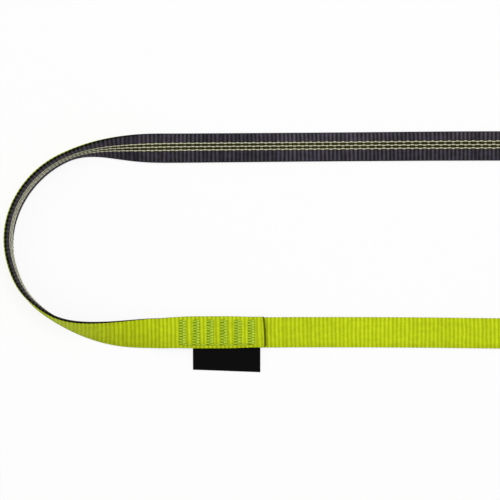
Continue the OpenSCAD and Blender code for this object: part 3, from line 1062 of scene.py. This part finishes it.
def black_tint(nodes, cloth, colour):
    """Violet patches, dark olive yarns between the tracers with painted shade in their valleys, and black
    selvedges with painted shade in the gaps between the ribs and painted light on their crests.
    """
    mottle = cloth["mottle"]
    colour = nodes.mix(nodes.span(mottle, *VIOLET_SPAN, *VIOLET_SHARES), colour, VIOLET)
    colour = nodes.mix(1.0, colour, nodes.span(mottle, *NOISE_SPAN, *BLACK_MOTTLE), "MULTIPLY")
    away = nodes.math("ABSOLUTE", nodes.math("SUBTRACT", cloth["across"], TRACER_OFFSET))
    olive = nodes.mix(nodes.span(cloth["rib"], *OLIVE_RIBS), OLIVE_SHADED_VALLEY, OLIVE_LIT_CREST)
    colour = nodes.mix(nodes.span(away, *OLIVE_REACH), colour, olive)
    tooth = nodes.span(nodes.attribute("tooth").outputs["Fac"], *TOOTH_RIBS)
    return nodes.mix(cloth["edge"], colour, nodes.mix(tooth, TOOTH_GAP_SHADE, TOOTH_CREST_LIGHT))


def black_material():
    nodes = web_material("black_web", BLACK_RIBS, BLACK_SHADED_VALLEY, BLACK_HIGHLIT_CREST, BLACK_MOLTEN, black_tint)
    nodes.set(Specular_IOR_Level=BLACK_GLOSS)
    nodes.set(Sheen_Weight=SHEEN, Sheen_Roughness=SHEEN_ROUGH, Sheen_Tint=SHEEN_TINT)
    return nodes.material


# Tracer yarn: painted shade in the valleys between the ribs and painted light on the crests
TRACER_SHADED_VALLEY = srgb(150, 150, 116)
TRACER_LIT_CREST = srgb(214, 213, 188)
TRACER_RIBS = (0.2, 0.95)
TRACER_FILAMENTS = (0.8, 3.0, 0.0)
TRACER_SHADE = (0.9, 1.05)
TRACER_BUMP = 0.04 * MM
TRACER_ROUGH = (0.65, 0.5)
TRACER_GLOSS = 0.2


def tracer_material():
    """Pale yarn, with painted shade between the ribs, and fine filaments along it."""
    nodes = Nodes("tracer_yarn")
    weave = nodes.attribute("weave").outputs["Vector"]
    rib = nodes.split(weave)["Z"]
    filaments = nodes.noise(weave, TRACER_FILAMENTS)
    colour = nodes.mix(nodes.span(rib, *TRACER_RIBS), TRACER_SHADED_VALLEY, TRACER_LIT_CREST)
    shade = nodes.span(filaments, *NOISE_SPAN, *TRACER_SHADE)
    colour = nodes.mix(1.0, colour, shade, "MULTIPLY")
    nodes.bump(filaments, TRACER_BUMP)
    rough = nodes.span(filaments, *ROUGH_SPAN, *TRACER_ROUGH)
    nodes.set(Base_Color=colour, Roughness=rough, Specular_IOR_Level=TRACER_GLOSS)
    return nodes.material


# Sewing thread of twisted plies
TWIST_PITCH = 1.1
THREAD_PLIES = 3
THREAD_DEEP = srgb(188, 222, 44)
THREAD_PALE = srgb(214, 238, 62)
THREAD_PATCHES = (0.35, 0.0, 0.0)
PLY_SPAN = (0.0, 0.6)
PLY_SHADE = (0.72, 1.03)
THREAD_BUMP = 0.05 * MM
THREAD_ROUGH = (0.65, 0.42)
THREAD_GLOSS = 0.25


def thread_material():
    """Three-ply sewing thread: the plies wind round it, with painted shade in the grooves between them."""
    nodes = Nodes("sewing_thread")
    twist = nodes.attribute("twist").outputs["Vector"]
    along, turn = nodes.split(twist)[:2]
    plies = nodes.math("MULTIPLY", turn, THREAD_PLIES)
    wound = nodes.math("ADD", plies, nodes.math("DIVIDE", along, TWIST_PITCH))
    ply = nodes.span(nodes.math("PINGPONG", wound, 0.5), 0.0, 0.5)
    patch = nodes.noise(twist, THREAD_PATCHES)
    colour = nodes.mix(nodes.span(patch, *NOISE_SPAN), THREAD_DEEP, THREAD_PALE)
    colour = nodes.mix(1.0, colour, nodes.span(ply, *PLY_SPAN, *PLY_SHADE), "MULTIPLY")
    nodes.bump(ply, THREAD_BUMP)
    rough = nodes.span(ply, 0.0, 1.0, *THREAD_ROUGH)
    nodes.set(Base_Color=colour, Roughness=rough, Specular_IOR_Level=THREAD_GLOSS)
    return nodes.material


# Label tape: half the pitch of its threads down and along it, and its colours
PICK_HALF = 0.11
WARP_HALF = 0.09
WARP_RELIEF = 0.5
LABEL_DEEP = srgb(5, 5, 6)
LABEL_PALE = srgb(13, 13, 14)
SPECKLE_SCALE = (3.0, 6.0, 0.0)
SPECKLE_DETAIL = 3.0
SPECKLE_SHADE = (0.75, 1.2)
LABEL_BUMP = 0.03 * MM
LABEL_ROUGH = (0.7, 0.5)
LABEL_GLOSS = 0.03


def label_material():
    """Tightly woven near-black label tape, with fine lines along its width."""
    nodes = Nodes("label_tape")
    weave = nodes.attribute("weave").outputs["Vector"]
    along, down = nodes.split(weave)[:2]
    pick = nodes.span(nodes.math("PINGPONG", down, PICK_HALF), 0.0, PICK_HALF)
    warp = nodes.span(nodes.math("PINGPONG", along, WARP_HALF), 0.0, WARP_HALF)
    warp = nodes.math("ADD", nodes.math("MULTIPLY", warp, WARP_RELIEF), 1 - WARP_RELIEF)
    speckle = nodes.noise(weave, SPECKLE_SCALE, SPECKLE_DETAIL)
    cloth = nodes.math("MULTIPLY", pick, warp)
    colour = nodes.mix(nodes.span(cloth, 0.0, 1.0), LABEL_DEEP, LABEL_PALE)
    colour = nodes.mix(1.0, colour, nodes.span(speckle, *NOISE_SPAN, *SPECKLE_SHADE), "MULTIPLY")
    nodes.bump(cloth, LABEL_BUMP)
    rough = nodes.span(speckle, *NOISE_SPAN, *LABEL_ROUGH)
    nodes.set(Base_Color=colour, Roughness=rough, Specular_IOR_Level=LABEL_GLOSS)
    return nodes.material


# Stage

# Floor and lamp in metres, but the drop of the floor in millimetres. Rays that the camera sees find a
# glowing floor and a white world, while the sling gets less light from both.
FLOOR_DROP = 0.05
FLOOR_SIDE = 12.0
FLOOR_COLOUR = (0.93, 0.93, 0.93, 1.0)
FLOOR_GLOW = 0.86
WORLD_LIGHT = 0.55
LAMP_X_FROM_AIM = 0.15
LAMP_Y = 0.38
LAMP_Z = 1.25
LAMP_SIDE = 0.75
LAMP_POWER = 8.4

# Width of the camera's sensor in millimetres, and the nearest distance that it shows in metres
SENSOR_W = 36.0
CLIP_START = 0.01


def shown_ray(tree):
    """1 for rays that show a surface to the camera, straight or in a reflection."""
    path = tree.nodes.new("ShaderNodeLightPath")
    seen = path.outputs["Is Camera Ray"]
    for name in ("Is Glossy Ray", "Is Transmission Ray"):
        both = tree.nodes.new("ShaderNodeMath")
        both.operation = "MAXIMUM"
        tree.links.new(seen, both.inputs[0])
        tree.links.new(path.outputs[name], both.inputs[1])
        seen = both.outputs[0]
    return seen


def floor():
    mesh = bpy.data.meshes.new("floor")
    half = FLOOR_SIDE / 2
    corners = [(-half, -half), (half, -half), (half, half), (-half, half)]
    mesh.from_pydata([(x, y, -FLOOR_DROP * MM) for x, y in corners], [], [(0, 1, 2, 3)])
    material = bpy.data.materials.new("pale_floor")
    material.use_nodes = True
    tree = material.node_tree
    tree.nodes.clear()
    diffuse = tree.nodes.new("ShaderNodeBsdfDiffuse")
    diffuse.inputs["Color"].default_value = FLOOR_COLOUR
    glow = tree.nodes.new("ShaderNodeEmission")
    share = tree.nodes.new("ShaderNodeMath")
    share.operation = "MULTIPLY"
    share.inputs[1].default_value = FLOOR_GLOW
    mixed = tree.nodes.new("ShaderNodeMixShader")
    output = tree.nodes.new("ShaderNodeOutputMaterial")
    tree.links.new(shown_ray(tree), share.inputs[0])
    tree.links.new(share.outputs[0], mixed.inputs[0])
    tree.links.new(diffuse.outputs[0], mixed.inputs[1])
    tree.links.new(glow.outputs[0], mixed.inputs[2])
    tree.links.new(mixed.outputs[0], output.inputs[0])
    place("floor", mesh, material)


def world():
    made = bpy.data.worlds.new("studio")
    made.use_nodes = True
    bpy.context.scene.world = made
    tree = made.node_tree
    background = tree.nodes["Background"]
    background.inputs["Color"].default_value = WHITE
    strength = tree.nodes.new("ShaderNodeMapRange")
    strength.inputs["To Min"].default_value = WORLD_LIGHT
    strength.inputs["To Max"].default_value = 1.0
    tree.links.new(shown_ray(tree), strength.inputs["Value"])
    tree.links.new(strength.outputs[0], background.inputs["Strength"])


def softbox(name, place_at, aim, side, power):
    """A square lamp that shines from one place to another, and isn't seen itself."""
    light = bpy.data.lights.new(name, "AREA")
    light.shape = "SQUARE"
    light.size = side
    light.energy = power
    lamp = bpy.data.objects.new(name, light)
    bpy.context.scene.collection.objects.link(lamp)
    lamp.location = place_at
    direction = Vector(aim) - Vector(place_at)
    lamp.rotation_euler = direction.to_track_quat("-Z", "Y").to_euler()
    lamp.visible_camera = False


def lights():
    aim = (VIEW_CENTRE[0] * MM, VIEW_CENTRE[1] * MM, 0.0)
    softbox("overhead", (aim[0] + LAMP_X_FROM_AIM, LAMP_Y, LAMP_Z), aim, LAMP_SIDE, LAMP_POWER)


def camera():
    data = bpy.data.cameras.new("camera")
    data.sensor_width = SENSOR_W
    data.lens = data.sensor_width * VIEW_HEIGHT / VIEW_W
    data.clip_start = CLIP_START
    made = bpy.data.objects.new("camera", data)
    bpy.context.scene.collection.objects.link(made)
    made.location = (VIEW_CENTRE[0] * MM, VIEW_CENTRE[1] * MM, VIEW_HEIGHT * MM)
    bpy.context.scene.camera = made


# Object

# Seeds of the random values
GREEN_SEED = 11
BLACK_SEED = 12
THREAD_SEED = 13
TRACER_SEED = 14

# Word and row of each tracer yarn
TRACERS = (("upper", 1), ("middle", 0), ("lower", -1))

# Threads: how deep they are pressed into the web, how far the zigzag rises over the stitches below it,
# and for each thread its face and the words for its pieces and its nodes
THREAD_SUNK = 0.16
TOP_HUMP = 0.16
UNDERSIDE_HUMP = 0.05
THREADS = ((GREEN, "top", "needle", TOP_HUMP), (BLACK, "underside", "bobbin", UNDERSIDE_HUMP))


def stitches(material):
    rng = np.random.default_rng(THREAD_SEED)
    made = []
    for face, side, node, over in THREADS:
        for k in range(BAR_COUNT):
            path = on_face(bar_stitches(rng, over), bar_place(k), face, THREAD_SUNK)
            piece = thread(f"bar_tack_{k + 1}_{side}", [path], material)
            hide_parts(f"bar_tack_{node}_{k + 1}")
            made.append(piece)
        middles = [(bar_place(k) + bar_place(k + 1)) / 2 for k in range(BAR_COUNT - 1)]
        paths = [on_face(link_stitch(), s, face, THREAD_SUNK / 2) for s in middles]
        piece = thread(f"link_stitches_{side}", paths, material)
        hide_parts(f"link_stitch_{node}")
        made.append(piece)
    for piece in made:
        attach(piece, "sling")
    return made


def tracers(weave, material):
    made = []
    for word, row in TRACERS:
        piece = tracer(f"tracer_{word}", row, weave, TRACER_SEED, material)
        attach(piece, "sling")
        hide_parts(f"tracer_yarn_{word}")
        made.append(piece)
    return made


def web():
    black_weave = Weave(BLACK_SEED)
    green = web_ply("green_web", GREEN, Weave(GREEN_SEED), green_material())
    black = web_ply("black_web", BLACK, black_weave, black_material())
    threads = stitches(thread_material())
    yarns = tracers(black_weave, tracer_material())
    for piece, colour, pieces in ((green, "green", threads), (black, "black", yarns)):
        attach(piece, "sling")
        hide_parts(f"web_{colour}_ply")


def sewn_label():
    piece, flat, hinge = label(label_material())
    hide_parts("label_tail", "label_flap")
    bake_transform(piece)


bpy.context.scene.view_settings.view_transform = "Standard"
camera()
floor()
world()
lights()
web()
sewn_label()
